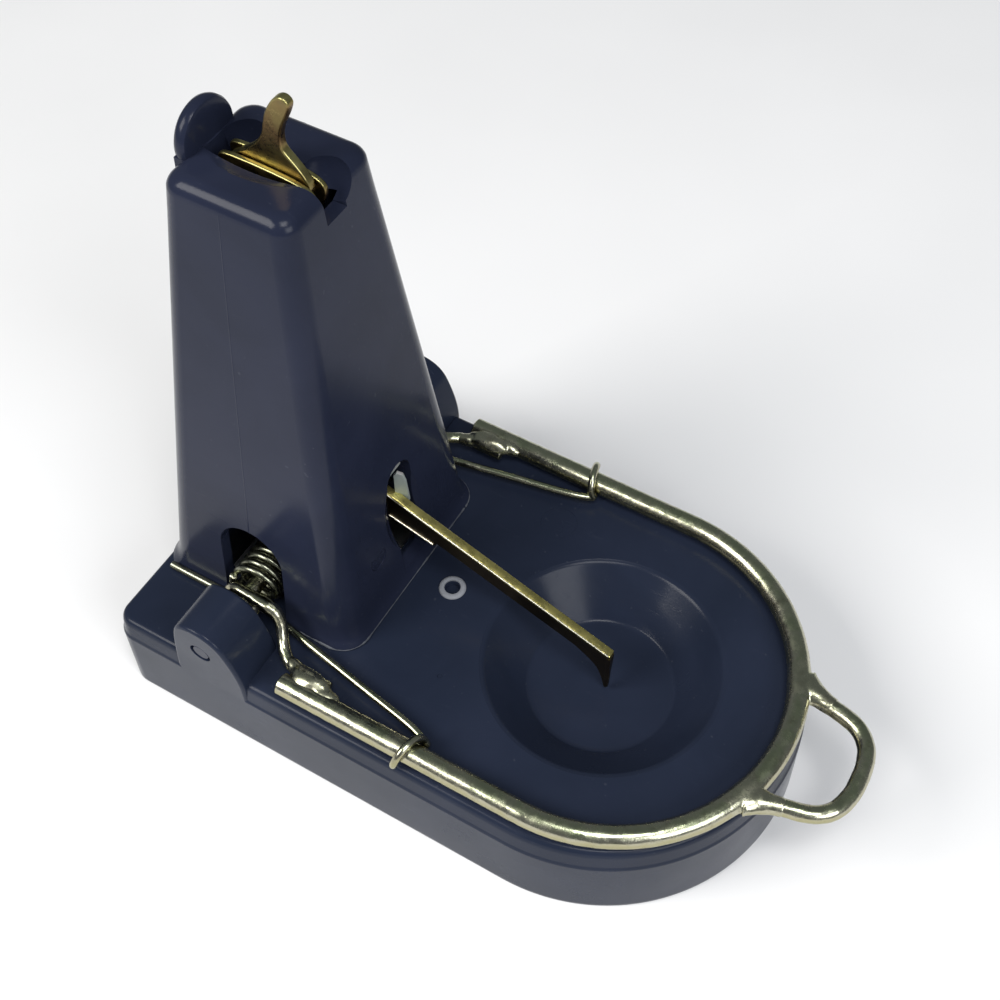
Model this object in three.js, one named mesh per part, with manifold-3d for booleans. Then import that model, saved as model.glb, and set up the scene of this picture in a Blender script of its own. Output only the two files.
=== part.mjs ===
// Snap mouse trap: a moulded base with a hollow tower, a sprung U-shaped bail, a catch lever
// that holds the bail up, and a trigger lever that reaches over the bait cup.
// Millimetres, +Z up, +X from the tower to the handle. Parts are built about the bait cup's
// axis (x = 0) and the outermost group moves the whole trap to the middle of its footprint.
import * as THREE from 'three';
import { mergeVertices } from 'three/addons/utils/BufferGeometryUtils.js';
import Module from 'manifold-3d';

const wasm = await Module();
wasm.setup();

// ---------------------------------------------------------------- driving dimensions
const GAP = 0.3;                 // clearance between neighbouring pieces

const PLATE_Z = 16.7;            // top of the base plate
const BASE_HALF = 30.0;          // half width at the plate
const BASE_DRAFT = 0.75;         // how much wider the skirt is at the floor
const BASE_REAR_X = -68.3;
const BASE_FRONT_C = 0.4;        // centre of the rounded front
const BASE_CORNER_R = 3.0;
const SKIN = 2.0;                // moulded wall thickness

const CUP_R = 17.9;
const CUP_FLOOR_R = 11.4;
const CUP_DEPTH = 6.8;
const NAIL_X = -26.2;            // shallow dimple with a raised ring
const NAIL_R = 1.05;

const AXLE = { x: -50.1, z: 21.9, r: 1.3 };
const BOSS_IN = 21.8;
const BOSS_OUT = 30.4;
const PLUG_R = 1.45;

const TOWER = {
  z0: PLATE_Z + GAP, z1: 92.0,
  rear0: -67.3, rear1: -56.9,
  front0: -33.0, front1: -38.7,
  half0: 17.6, half1: 8.6,
};
const EAR = { r: 4.7, z: 92.2, x0: -57.9, x1: -55.6 };

const ROD_R = 1.7;
const BAIL = { half: 27.4, arcX: 1.4, rearX: -38.3, z: 18.85 };
const ARM_R = 0.875;
const ARM_Y = 19.9;
const HANDLE_R = 1.3;

const SPRING_WIRE_R = 0.6;
const SPRING_COIL_R = 3.4;
const SPRING_PITCH = 1.36;
const LEG_Y = 17.9;
const HOOK_X = -16.0;

const CATCH_PIN = { x: -47.0, z: 85.6, r: 1.0 };
const TRIGGER_PIN = { x: -39.3, z: 32.8, r: 1.0 };
const CATCH_SET = 12;            // catch lever's turn, in degrees, when its foot is over the sear
const TRIGGER_SLOPE = -0.398;
const TRIGGER_TOP_Z = 34.3;      // top face where the strip leaves the tower
const TRIGGER_TOP_X = -34.5;

// ---------------------------------------------------------------- materials
const plastic = () => new THREE.MeshStandardMaterial({
  color: 0x262b38, roughness: 0.28, metalness: 0.0,
});
const zinc = () => new THREE.MeshStandardMaterial({
  color: 0xa8a07c, roughness: 0.25, metalness: 1.0,
});
const gold = () => new THREE.MeshStandardMaterial({
  color: 0xb89a4a, roughness: 0.3, metalness: 1.0,
});

// ---------------------------------------------------------------- solids
function toSolid(geometry) {
  let g = geometry.index ? geometry.toNonIndexed() : geometry.clone();
  g.deleteAttribute('normal');
  g.deleteAttribute('uv');
  g = mergeVertices(g, 1e-4);
  return new wasm.Manifold(new wasm.Mesh({
    numProp: 3,
    vertProperties: new Float32Array(g.attributes.position.array),
    triVerts: new Uint32Array(g.index.array),
  }));
}

function toGeometry(solid) {
  const m = solid.getMesh();
  const g = new THREE.BufferGeometry();
  const position = new Float32Array(m.numVert * 3);
  for (let i = 0; i < m.numVert; i += 1) {
    for (let k = 0; k < 3; k += 1) {
      position[i * 3 + k] = m.vertProperties[i * m.numProp + k];
    }
  }
  g.setAttribute('position', new THREE.BufferAttribute(position, 3));
  g.setIndex(new THREE.BufferAttribute(new Uint32Array(m.triVerts), 1));
  g.computeVertexNormals();
  return g;
}

function join(...solids) {
  return solids.reduce((a, b) => a.add(b));
}

function cut(solid, ...tools) {
  return tools.reduce((a, b) => a.subtract(b), solid);
}

function largest(solid) {
  return solid.decompose().reduce((a, b) => (b.volume() > a.volume() ? b : a));
}

// A closed skin over a stack of equal-length convex loops, the lowest loop first.
function loft(loops) {
  const n = loops[0].length;
  const position = [];
  const index = [];
  loops.forEach((loop) => loop.forEach((p) => position.push(p.x, p.y, p.z)));
  for (let k = 0; k + 1 < loops.length; k += 1) {
    for (let i = 0; i < n; i += 1) {
      const a = k * n + i;
      const b = k * n + ((i + 1) % n);
      index.push(a, b, b + n, a, b + n, a + n);
    }
  }
  const top = (loops.length - 1) * n;
  for (let i = 1; i + 1 < n; i += 1) {
    index.push(0, i + 1, i);
    index.push(top, top + i, top + i + 1);
  }
  const g = new THREE.BufferGeometry();
  g.setAttribute('position', new THREE.Float32BufferAttribute(position, 3));
  g.setIndex(index);
  return toSolid(g);
}

// Counter-clockwise rectangle with rounded corners at height z.
function roundedRect(x0, x1, half, r, z, segments = 4) {
  const centres = [
    [x1 - r, half - r, 0], [x0 + r, half - r, 1], [x0 + r, r - half, 2], [x1 - r, r - half, 3],
  ];
  const loop = [];
  centres.forEach(([cx, cy, quarter]) => {
    for (let i = 0; i <= segments; i += 1) {
      const a = (quarter + i / segments) * Math.PI / 2;
      loop.push(new THREE.Vector3(cx + r * Math.cos(a), cy + r * Math.sin(a), z));
    }
  });
  return loop;
}

// Counter-clockwise outline with a half-round front and small rear corners at height z.
function baseOutline(half, rear, r, z, front = 28, corner = 4) {
  const loop = [];
  for (let i = 0; i <= front; i += 1) {
    const a = -Math.PI / 2 + Math.PI * i / front;
    loop.push(new THREE.Vector3(BASE_FRONT_C + half * Math.cos(a), half * Math.sin(a), z));
  }
  [[rear + r, half - r, 1], [rear + r, r - half, 2]].forEach(([cx, cy, quarter]) => {
    for (let i = 0; i <= corner; i += 1) {
      const a = (quarter + i / corner) * Math.PI / 2;
      loop.push(new THREE.Vector3(cx + r * Math.cos(a), cy + r * Math.sin(a), z));
    }
  });
  return loop;
}

function box(x0, x1, y0, y1, z0, z1) {
  const g = new THREE.BoxGeometry(x1 - x0, y1 - y0, z1 - z0);
  g.translate((x0 + x1) / 2, (y0 + y1) / 2, (z0 + z1) / 2);
  return toSolid(g);
}

function cylinderY(x, z, r, y0, y1, sides = 16) {
  const g = new THREE.CylinderGeometry(r, r, y1 - y0, sides);
  g.translate(x, (y0 + y1) / 2, z);
  return toSolid(g);
}

function turned(profile, sides = 32) {
  const g = new THREE.LatheGeometry(profile.map(([r, z]) => new THREE.Vector2(r, z)), sides);
  g.rotateX(Math.PI / 2);
  return toSolid(g);
}

function ellipsoid(x, y, z, rx, ry, rz, turn = 0) {
  const g = new THREE.SphereGeometry(1, 12, 8);
  g.rotateX(Math.PI / 2);
  g.scale(rx, ry, rz);
  g.rotateZ(turn);
  g.translate(x, y, z);
  return toSolid(g);
}

// A flat outline drawn in X and Z, extruded from y0 to y1.
function plateXZ(points, y0, y1) {
  const shape = new THREE.Shape(points.map(([x, z]) => new THREE.Vector2(x, z)));
  const g = new THREE.ExtrudeGeometry(shape, { depth: y1 - y0, bevelEnabled: false, curveSegments: 8 });
  g.rotateX(Math.PI / 2);
  g.translate(0, y1, 0);
  return toSolid(g);
}

function circleShape(r, sides) {
  const shape = new THREE.Shape();
  for (let i = 0; i < sides; i += 1) {
    const a = 2 * Math.PI * i / sides;
    if (i === 0) shape.moveTo(r, 0);
    else shape.lineTo(r * Math.cos(a), r * Math.sin(a));
  }
  shape.closePath();
  return shape;
}

// Round wire through the points; corners between straight runs are already rounded by them.
function wire(points, r, steps, sides = 8) {
  const path = new THREE.CatmullRomCurve3(points, false, 'centripetal');
  const g = new THREE.ExtrudeGeometry(circleShape(r, sides), {
    steps, extrudePath: path, bevelEnabled: false,
  });
  return toSolid(g);
}

const V = (x, y, z) => new THREE.Vector3(x, y, z);
const mirrored = (points) => points.map((p) => V(p.x, -p.y, p.z));

// Points of an arc in the XZ plane about the axle; angles in degrees from +X towards +Z.
function axleArc(radius, from, to, y0, y1, count) {
  const points = [];
  for (let i = 0; i <= count; i += 1) {
    const t = i / count;
    const a = THREE.MathUtils.degToRad(from + (to - from) * t);
    points.push(V(AXLE.x + radius * Math.cos(a), y0 + (y1 - y0) * t, AXLE.z + radius * Math.sin(a)));
  }
  return points;
}

// ---------------------------------------------------------------- base moulding
function bossOutline(grow = 0) {
  const top = 27.4 + grow;
  return [
    [-56.3 - grow, 10.0], [-43.4 + grow, 10.0], [-43.4 + grow, 17.5], [-44.1 + grow, 21.3],
    [-45.2 + grow, 24.4], [-46.7, 26.4 + grow], [-48.6, top], [-52.6, top],
    [-53.9 - grow, 26.6 + grow], [-54.7 - grow, 24.9], [-56.0 - grow, 18.5],
  ];
}

function baseShell() {
  const outer = loft([
    baseOutline(BASE_HALF + BASE_DRAFT - 0.7, BASE_REAR_X - 0.2, BASE_CORNER_R, 0),
    baseOutline(BASE_HALF + BASE_DRAFT, BASE_REAR_X - 0.9, BASE_CORNER_R + 0.4, 1.0),
    baseOutline(BASE_HALF + 0.05, BASE_REAR_X, BASE_CORNER_R, PLATE_Z - 0.9),
    baseOutline(BASE_HALF - 0.7, BASE_REAR_X + 0.6, BASE_CORNER_R - 0.4, PLATE_Z),
  ]);
  const inner = loft([
    baseOutline(BASE_HALF + BASE_DRAFT - SKIN, BASE_REAR_X - 0.9 + SKIN, 2.0, -1),
    baseOutline(BASE_HALF - SKIN, BASE_REAR_X + SKIN, 2.0, PLATE_Z - SKIN),
  ]);
  const cupOutside = turned([
    [0, PLATE_Z - CUP_DEPTH - SKIN], [CUP_FLOOR_R + 1.2, PLATE_Z - CUP_DEPTH - SKIN],
    [CUP_R + 1.9, PLATE_Z - 0.5], [0, PLATE_Z - 0.5], [0, PLATE_Z - CUP_DEPTH - SKIN],
  ]);
  const cupInside = turned([
    [0, PLATE_Z - CUP_DEPTH], [CUP_FLOOR_R, PLATE_Z - CUP_DEPTH], [CUP_R, PLATE_Z],
    [CUP_R, PLATE_Z + 3], [0, PLATE_Z + 3], [0, PLATE_Z - CUP_DEPTH],
  ]);
  let shell = join(cut(outer, inner), cupOutside);
  [1, -1].forEach((side) => {
    const y = side > 0 ? [BOSS_IN, BOSS_OUT] : [-BOSS_OUT, -BOSS_IN];
    shell = shell.add(plateXZ(bossOutline(), y[0], y[1]));
  });
  const ringOuter = turned([[0, PLATE_Z - 1], [1.95, PLATE_Z - 1], [1.75, PLATE_Z + 0.35],
    [0, PLATE_Z + 0.35], [0, PLATE_Z - 1]], 16).translate([NAIL_X, 0, 0]);
  const nailMark = turned([[0, PLATE_Z - 0.8], [NAIL_R, PLATE_Z - 0.8], [NAIL_R, PLATE_Z + 3],
    [0, PLATE_Z + 3], [0, PLATE_Z - 0.8]], 12)
    .translate([NAIL_X, 0, 0]);
  const underTower = box(TOWER.rear0 + 4.5, TOWER.front0 - 4.0, -13.5, 13.5, PLATE_Z - 5, PLATE_Z + 5);
  shell = cut(shell.add(ringOuter), cupInside, nailMark, underTower);
  [1, -1].forEach((side) => {
    const y0 = side > 0 ? BOSS_IN - 1 : -(BOSS_OUT - 1.6);
    const y1 = side > 0 ? BOSS_OUT - 1.6 : -(BOSS_IN - 1);
    const p0 = side > 0 ? BOSS_OUT - 1.1 : -(BOSS_OUT + 1);
    const p1 = side > 0 ? BOSS_OUT + 1 : -(BOSS_OUT - 1.1);
    shell = cut(shell, cylinderY(AXLE.x, AXLE.z, AXLE.r + GAP, y0, y1, 12));
    shell = cut(shell, cylinderY(AXLE.x, AXLE.z, PLUG_R + GAP, p0, p1, 12));
  });
  return shell;
}

// ---------------------------------------------------------------- tower moulding
function towerAt(z, inset, r) {
  const t = (z - PLATE_Z) / (TOWER.z1 - PLATE_Z);
  const mix = (a, b) => a + (b - a) * t;
  return roundedRect(
    mix(TOWER.rear0, TOWER.rear1) + inset, mix(TOWER.front0, TOWER.front1) - inset,
    mix(TOWER.half0, TOWER.half1) - inset, r, z,
  );
}

function tower() {
  const outer = loft([
    towerAt(TOWER.z0, -0.7, 4.2), towerAt(TOWER.z0 + 1.0, 0, 3.6), towerAt(88.6, 0, 2.2),
    towerAt(90.9, 0.7, 2.0), towerAt(TOWER.z1, 2.2, 1.6),
  ]);
  const inner = loft([towerAt(TOWER.z0 - 1, SKIN, 2.2), towerAt(88.2, SKIN, 1.2)]);
  const ear = cylinderY(0, 0, EAR.r, EAR.x0, EAR.x1, 28).rotate([0, 0, -90]).translate([0, 0, EAR.z]);
  const earRoot = box(EAR.x0 + 0.9, EAR.x1, -4.0, 4.0, 84, 91);
  let body = join(cut(outer, inner), ear, earRoot);

  // Bevelled slot along the top for the catch lever, open at the front face.
  const slot = box(EAR.x1, -30, -1.9, 1.9, 87.4, 96);
  const bevel = plateXZ([[-4.3, 92.6], [-1.9, 89.2], [1.9, 89.2], [4.3, 92.6], [4.3, 99], [-4.3, 99]], 0, 40)
    .rotate([0, 0, -90]).translate([EAR.x1, 0, 0]);
  const notch = box(-42.2, -30, -3.1, 3.1, 87.6, 96);
  // Arched slot in the front wall for the trigger lever.
  const frontSlot = join(box(-40, -28, -2.2, 3.6, PLATE_Z + 2.6, 38.4),
    toSolid(new THREE.CylinderGeometry(2.9, 2.9, 12, 20).rotateZ(Math.PI / 2).translate(-34, 0.7, 38.4)));
  // Arched windows in the side walls for the spring coils.
  const window = join(box(AXLE.x - 5.6, AXLE.x + 5.4, -25, 25, PLATE_Z - 2, 28.5),
    cylinderY(AXLE.x - 0.1, 28.5, 5.5, -25, 25, 20));
  body = cut(body, slot, bevel, notch, frontSlot, window);

  // Cheeks that carry the two lever pins.
  [1, -1].forEach((side) => {
    const y = (a, b) => (side > 0 ? [a, b] : [-b, -a]);
    const [a0, a1] = y(3.5, 5.2);
    body = body.add(box(-51.5, -42.5, a0, a1, 82.4, 88.8));
    const [b0, b1] = y(3.6, 5.2);
    body = body.add(box(-43.0, -35.6, b0, b1, 28.3, 37.3));
  });
  return cut(body,
    cylinderY(CATCH_PIN.x, CATCH_PIN.z, CATCH_PIN.r + GAP, -5.6, 5.6, 12),
    cylinderY(TRIGGER_PIN.x, TRIGGER_PIN.z, TRIGGER_PIN.r + GAP, -5.6, 5.6, 12));
}

// ---------------------------------------------------------------- bail
// Centre line of the heavy rod: two straight arms joined by a half circle.
class BailCurve extends THREE.Curve {
  constructor() {
    super();
    this.run = BAIL.arcX - BAIL.rearX;
    this.arc = Math.PI * BAIL.half;
  }

  getPoint(t) {
    const s = t * (2 * this.run + this.arc);
    if (s <= this.run) return V(BAIL.rearX + s, -BAIL.half, BAIL.z);
    if (s >= this.run + this.arc) return V(BAIL.arcX - (s - this.run - this.arc), BAIL.half, BAIL.z);
    const a = -Math.PI / 2 + (s - this.run) / BAIL.half;
    return V(BAIL.arcX + BAIL.half * Math.cos(a), BAIL.half * Math.sin(a), BAIL.z);
  }
}

function bailTube(r, sides, steps = 50) {
  const g = new THREE.ExtrudeGeometry(circleShape(r, sides), {
    steps, extrudePath: new BailCurve(), bevelEnabled: false,
  });
  return toSolid(g);
}

function armPoints() {
  const beside = BAIL.half - ROD_R - ARM_R - GAP;
  return [
    ...axleArc(AXLE.r + GAP + ARM_R, 310, 90, -ARM_Y, -ARM_Y, 9),
    V(-48.0, -ARM_Y, 24.35), V(-45.6, -ARM_Y, 24.3), V(-43.7, -ARM_Y - 0.1, 23.5),
    V(-42.7, -ARM_Y - 0.6, 22.0), V(-41.9, -ARM_Y - 1.6, 20.5), V(-40.6, -ARM_Y - 3.0, 19.4),
    V(-38.6, -beside + 0.5, 19.0), V(-36.0, -beside, BAIL.z), V(-31.5, -beside, BAIL.z),
  ];
}

function handlePoints() {
  const half = [[30.9, 8.95], [33.4, 8.6], [35.8, 8.0], [37.7, 7.0], [39.1, 5.4], [39.9, 3.2]];
  const near = half.map(([x, y]) => V(x, -y, BAIL.z));
  const far = half.reverse().map(([x, y]) => V(x, y, BAIL.z));
  return [...near, V(40.15, 0, BAIL.z), ...far];
}

// ---------------------------------------------------------------- springs
function coilPoints() {
  const turns = 4.25;
  const outer = 180 - 24;
  const from = outer - 360 * turns;
  const y0 = -(LEG_Y - 1.1) + SPRING_PITCH * turns;
  const coil = axleArc(SPRING_COIL_R, from, outer, y0, -(LEG_Y - 1.1), Math.round(turns * 12));
  // The fixed end runs under the coil to the window's rear corner and back along the wall.
  const anchor = [
    V(-65.6, -18.45, 17.75), V(-60.0, -18.45, 17.75), V(-56.0, -18.4, 17.75), V(-54.9, -17.9, 17.75),
    V(-54.55, -16.8, 17.75), V(-54.55, y0 - 1.6, 17.8), V(-54.9, y0 - 0.2, 18.2),
  ];
  return anchor.concat(coil.slice(1));
}

function legPoints() {
  const reach = ROD_R + SPRING_WIRE_R + GAP;
  const start = axleArc(SPRING_COIL_R, 186, 270, -LEG_Y, -LEG_Y, 5);
  const hook = [];
  [-10, 25, 60, 95, 130, 165, 190].forEach((deg) => {
    const a = THREE.MathUtils.degToRad(deg);
    hook.push(V(HOOK_X - (deg - 60) / 90, -BAIL.half + reach * Math.cos(a), BAIL.z + reach * Math.sin(a)));
  });
  return [
    ...start, V(-46.5, -LEG_Y - 0.55, 18.5), V(-38, -LEG_Y - 2.15, 18.45), V(-28, -LEG_Y - 4.0, 18.4),
    V(-18.5, -LEG_Y - 5.75, 18.35), ...hook,
  ];
}

// Two turns of fine wire round the catch pin, one tail on the lever and one on the cheek.
function catchCoilPoints() {
  const coil = [];
  for (let i = 0; i <= 24; i += 1) {
    const a = 2 * Math.PI * i / 12 + Math.PI / 2;
    coil.push(V(CATCH_PIN.x + 1.75 * Math.cos(a), 1.95 + 1.2 * i / 24, CATCH_PIN.z + 1.75 * Math.sin(a)));
  }
  return [
    V(-43.6, 1.95, 85.6), V(-44.9, 1.95, 86.9), ...coil,
    V(-49.4, 3.12, 86.9), V(-51.4, 3.1, 84.6), V(-52.8, 3.1, 82.0),
  ];
}

// ---------------------------------------------------------------- levers
// The point (x, z) after a turn about a pin, in degrees from +X towards +Z.
function turnAbout(pin, x, z, degrees) {
  const a = THREE.MathUtils.degToRad(degrees);
  const dx = x - pin.x;
  const dz = z - pin.z;
  return [pin.x + dx * Math.cos(a) - dz * Math.sin(a), pin.z + dx * Math.sin(a) + dz * Math.cos(a)];
}

function catchLever() {
  const flange = [
    [-53.4, 92.5], [-53.6, 88.8], [-50.6, 83.4], [-44.0, 83.4], [-41.6, 86.6], [-39.6, 88.9],
    [-39.2, 90.4], [-40.2, 91.9], [-41.6, 92.5],
  ];
  const finger = [
    [-51.2, 90.0], [-50.4, 92.4], [-48.6, 94.4], [-47.2, 96.2], [-46.7, 98.0], [-46.5, 99.4],
    [-45.7, 101.0], [-44.7, 102.3], [-43.7, 102.8], [-42.7, 102.6], [-42.2, 101.9], [-42.8, 100.5],
    [-44.0, 98.2], [-44.5, 96.6], [-44.4, 95.0], [-43.6, 93.8], [-43.0, 92.5], [-43.0, 90.0],
  ];
  // Drawn with the trap set, when the hooked foot sits in front of the trigger's sear.
  const setLeg = [
    [-49.8, 85.0], [-42.9, 44.6], [-42.3, 41.5], [-41.5, 40.14], [-37.09, 40.14], [-37.09, 39.555],
    [-36.39, 39.555], [-36.39, 40.64], [-39.5, 40.79], [-40.1, 42.6], [-44.6, 85.0],
  ];
  const leg = setLeg.map(([x, z]) => turnAbout(CATCH_PIN, x, z, -CATCH_SET));
  const body = join(
    plateXZ(flange, -1.3, -0.5), plateXZ(flange, 0.5, 1.3),
    plateXZ(leg, -0.55, 0.55), plateXZ(finger, -0.65, 0.65),
  );
  return cut(body, cylinderY(CATCH_PIN.x, CATCH_PIN.z, CATCH_PIN.r + GAP, -2, 2, 12));
}

function triggerLever() {
  const topAt = (x) => TRIGGER_TOP_Z + TRIGGER_SLOPE * (x - TRIGGER_TOP_X);
  const strip = (x0, x1, up, down) => [
    [x0, topAt(x0) + down], [x1, topAt(x1) + down], [x1, topAt(x1) + up], [x0, topAt(x0) + up],
  ];
  const flange = plateXZ(strip(-37.4, 1.2, 0, -0.8), -0.9, 0.95);
  const web = plateXZ([
    [-36.4, topAt(-36.4) - 0.1], [-36.4, 29.8], [-28.4, 27.2], [-28.0, topAt(-28) - 3.9],
    [-3.2, topAt(-3.2) - 3.9], [-0.6, topAt(-0.6) - 6.0], [0.3, 10.7], [1.3, 10.7],
    [1.6, 14.0], [1.25, topAt(1.2) - 0.1],
  ], -0.9, -0.1);
  const lip = plateXZ([[-36.4, 29.6], [-28.4, 27.2], [-28.4, 28.0], [-36.4, 30.4]], -1.5, -0.5);
  const hub = join(cylinderY(TRIGGER_PIN.x, TRIGGER_PIN.z, 2.6, -0.9, 0.9, 16),
    plateXZ([[-39.0, 30.3], [-35.6, 30.0], [-35.6, 34.3], [-38.2, 35.3]], -0.9, 0.9));
  // Upturned sear, leaning 28 degrees forward when the trap is sprung.
  const upright = [[-0.3, 1.5], [0.3, 1.5], [0.3, 7.4], [-0.3, 7.4]]
    .map(([x, z]) => turnAbout(TRIGGER_PIN, TRIGGER_PIN.x + x, TRIGGER_PIN.z + z, -28));
  const sear = plateXZ(upright, -0.9, 2.8);
  return cut(join(flange, web, lip, hub, sear),
    cylinderY(TRIGGER_PIN.x, TRIGGER_PIN.z, TRIGGER_PIN.r + GAP, -2, 3, 12));
}

// ---------------------------------------------------------------- assembly
function piece(name, solid, material) {
  const mesh = new THREE.Mesh(toGeometry(solid), material);
  mesh.name = name;
  return mesh;
}

const frame = new THREE.Group();
frame.add(piece('base_shell', baseShell(), plastic()));
frame.add(piece('tower', tower(), plastic()));
const axle = cylinderY(AXLE.x, AXLE.z, AXLE.r, -(BOSS_OUT - 2.0), BOSS_OUT - 2.0, 12);
frame.add(piece('pivot_axle', axle, zinc()));
frame.add(piece('catch_pin', cylinderY(CATCH_PIN.x, CATCH_PIN.z, CATCH_PIN.r, -5.3, 5.3, 12), zinc()));
frame.add(piece('trigger_pin', cylinderY(TRIGGER_PIN.x, TRIGGER_PIN.z, TRIGGER_PIN.r, -5.3, 5.3, 12), zinc()));

const bail = new THREE.Group();
const rodClear = bailTube(ROD_R + GAP, 14);
bail.add(piece('bail_rod', bailTube(ROD_R, 12), zinc()));
const handleWire = wire(handlePoints(), HANDLE_R, 30, 10);
bail.add(piece('handle_loop', largest(cut(handleWire, rodClear)), zinc()));
const handleClear = wire(handlePoints(), HANDLE_R + GAP, 30, 10);

[['near', 1], ['far', -1]].forEach(([tag, side]) => {
  const place = (points) => (side > 0 ? points : mirrored(points));
  const outward = -side;
  const plugAt = [outward * (BOSS_OUT - 1.0), outward * (BOSS_OUT - 0.05)].sort((a, b) => a - b);
  frame.add(piece(`axle_plug_${tag}`, cylinderY(AXLE.x, AXLE.z, PLUG_R, plugAt[0], plugAt[1], 12), plastic()));
  frame.add(piece(`spring_coil_${tag}`, wire(place(coilPoints()), SPRING_WIRE_R, 96, 7), zinc()));
  bail.add(piece(`spring_leg_${tag}`, wire(place(legPoints()), SPRING_WIRE_R, 44, 8), zinc()));
  const arm = wire(place(armPoints()), ARM_R, 40, 8);
  bail.add(piece(`pivot_arm_${tag}`, cut(arm, rodClear), zinc()));
  const armClear = wire(place(armPoints()), ARM_R + GAP, 40, 8);
  const armWeld = ellipsoid(-34.6, outward * 25.2, 19.9, 4.0, 1.9, 1.7);
  bail.add(piece(`weld_arm_${tag}`, largest(cut(armWeld, rodClear, armClear)), zinc()));
  const handleWeld = ellipsoid(29.2, outward * 10.2, 20.0, 2.6, 3.4, 1.5, outward * 0.35);
  bail.add(piece(`weld_handle_${tag}`, largest(cut(handleWeld, rodClear, handleClear)), zinc()));
});
frame.add(piece('catch_spring', wire(catchCoilPoints(), 0.28, 60, 6), zinc()));

const catchGroup = new THREE.Group();
catchGroup.add(piece('catch_lever', catchLever(), gold()));
const triggerGroup = new THREE.Group();
triggerGroup.add(piece('trigger_lever', triggerLever(), gold()));

const trap = new THREE.Group();
trap.add(frame, bail, catchGroup, triggerGroup);
trap.updateMatrixWorld(true);
const bounds = new THREE.Box3().setFromObject(trap);
trap.position.x = -(bounds.min.x + bounds.max.x) / 2;

export default trap;
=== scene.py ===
import math

import bmesh
import bpy
import numpy as np
from mathutils import Matrix, Vector, noise


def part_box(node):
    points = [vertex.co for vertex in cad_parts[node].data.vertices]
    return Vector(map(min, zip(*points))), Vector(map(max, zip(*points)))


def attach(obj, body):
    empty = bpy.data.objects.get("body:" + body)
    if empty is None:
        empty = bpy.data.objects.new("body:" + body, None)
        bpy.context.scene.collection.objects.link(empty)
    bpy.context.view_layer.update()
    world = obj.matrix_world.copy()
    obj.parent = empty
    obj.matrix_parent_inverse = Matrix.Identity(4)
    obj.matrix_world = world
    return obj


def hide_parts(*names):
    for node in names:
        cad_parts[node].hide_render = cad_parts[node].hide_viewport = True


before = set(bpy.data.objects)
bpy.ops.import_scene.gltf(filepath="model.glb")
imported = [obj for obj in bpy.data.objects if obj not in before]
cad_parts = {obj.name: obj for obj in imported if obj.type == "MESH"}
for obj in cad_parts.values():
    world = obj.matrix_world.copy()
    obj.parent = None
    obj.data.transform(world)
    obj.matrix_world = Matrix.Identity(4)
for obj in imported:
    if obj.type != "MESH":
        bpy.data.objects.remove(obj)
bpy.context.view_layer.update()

# Shapes are drawn in millimetres about the bait cup's axis (x = 0) and moved by SHIFT,
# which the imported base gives.
MM = 0.001
BASE_FRONT_X = 31.15
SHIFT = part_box("base_shell")[1].x / MM - BASE_FRONT_X

# The near side is -Y, which the photograph shows, and the far side is +Y.
TAGS = {-1: "near", 1: "far"}

# Base: a plate with a half round front about BASE_ARC_X, and a boss on each side for the bail's axle.
DECK_Z = 16.7
BASE_HALF = 30.0
BASE_REAR_X = -68.3
BASE_ARC_X = 0.4
BASE_CORNER_R = 3.0
WALL = 2.0
NAIL_X = -26.2
AXLE_X = -50.1
AXLE_Z = 21.9
AXLE = (AXLE_X, AXLE_Z)
AXLE_R = 1.3
BORE_R = 1.6
BOSS_IN = 21.8
BOSS_OUT = 30.4

# Tower: rear and front are places along X, half is half its width, and each one draws in up to the top.
TOWER_TOP = 92.0
TOWER_REAR, TOWER_REAR_DRAW = -67.3, 10.4
TOWER_FRONT, TOWER_FRONT_DRAW = -33.0, 5.7
TOWER_HALF, TOWER_HALF_DRAW = 17.6, 9.0
TOWER_CORNER_R = 4.2
CROWN_R = 2.1
EAR_Z = 92.2
SLOT_HALF = 1.95
ARCH = (0.7, 38.4)
ARCH_R = 2.9
WINDOW_R = 5.5
CATCH_PIN = (-47.0, 85.6)
TRIGGER_PIN = (-39.3, 32.8)
PIN_R = 1.0
PIN_HOLE_R = 1.3
PIN_HALF = 5.3

# Bail: a rod bent to a U about ROD_ARC_X. GAP keeps the wires that lie beside it clear of it.
ROD_R = 1.7
ROD_Z = 18.85
ROD_HALF = 27.4
ROD_ARC_X = 1.4
ROD_REAR_X = -38.3
ARM_R = 0.875
ARM_SKIN_R = 0.90
HANDLE_R = 1.3
GAP = 0.25

# Springs: each coil runs round the axle behind a side window.
SPRING_R = 0.6
COIL_R = 3.4
COIL_TURNS = 4.25
COIL_PITCH = 1.36
COIL_STOP = 156.0
COIL_Y = -16.8

# Levers: CATCH_SWING is the catch's turn in degrees from rest to set. The trigger's top edge falls to the
# front in a straight line through (TRIGGER_X, TRIGGER_TOP_Z).
CATCH_SWING = 12
TRIGGER_X = -34.5
TRIGGER_TOP_Z = 34.3
TRIGGER_FALL = 0.398

# Camera: azimuth, elevation and roll in degrees, and its place in millimetres like the shapes.
CAMERA_ANGLES = (29.37, 53.75, 0.42)
CAMERA_AT = (40.86, -94.38, 199.54)
FLOOR_HALF = 3.0  # metres

# Colours that show through the plastics and the plated metals in patches.
SCUFF = (0.040, 0.047, 0.070)
DUST = (0.16, 0.17, 0.20)
GRIME = (0.13, 0.11, 0.065)

# Matrices for plates, which are drawn in X and Z: both turn the outline to face along X.
FACE_FRONT = Matrix(((0, -1, 0, 0), (1, 0, 0, 0), (0, 0, 1, 0), (0, 0, 0, 1)))
FACE_FRONT_TIPPED = Matrix(((0, -1, 0, 0), (0, 0, 1, 0), (1, 0, 0, 0), (0, 0, 0, 1)))


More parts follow.
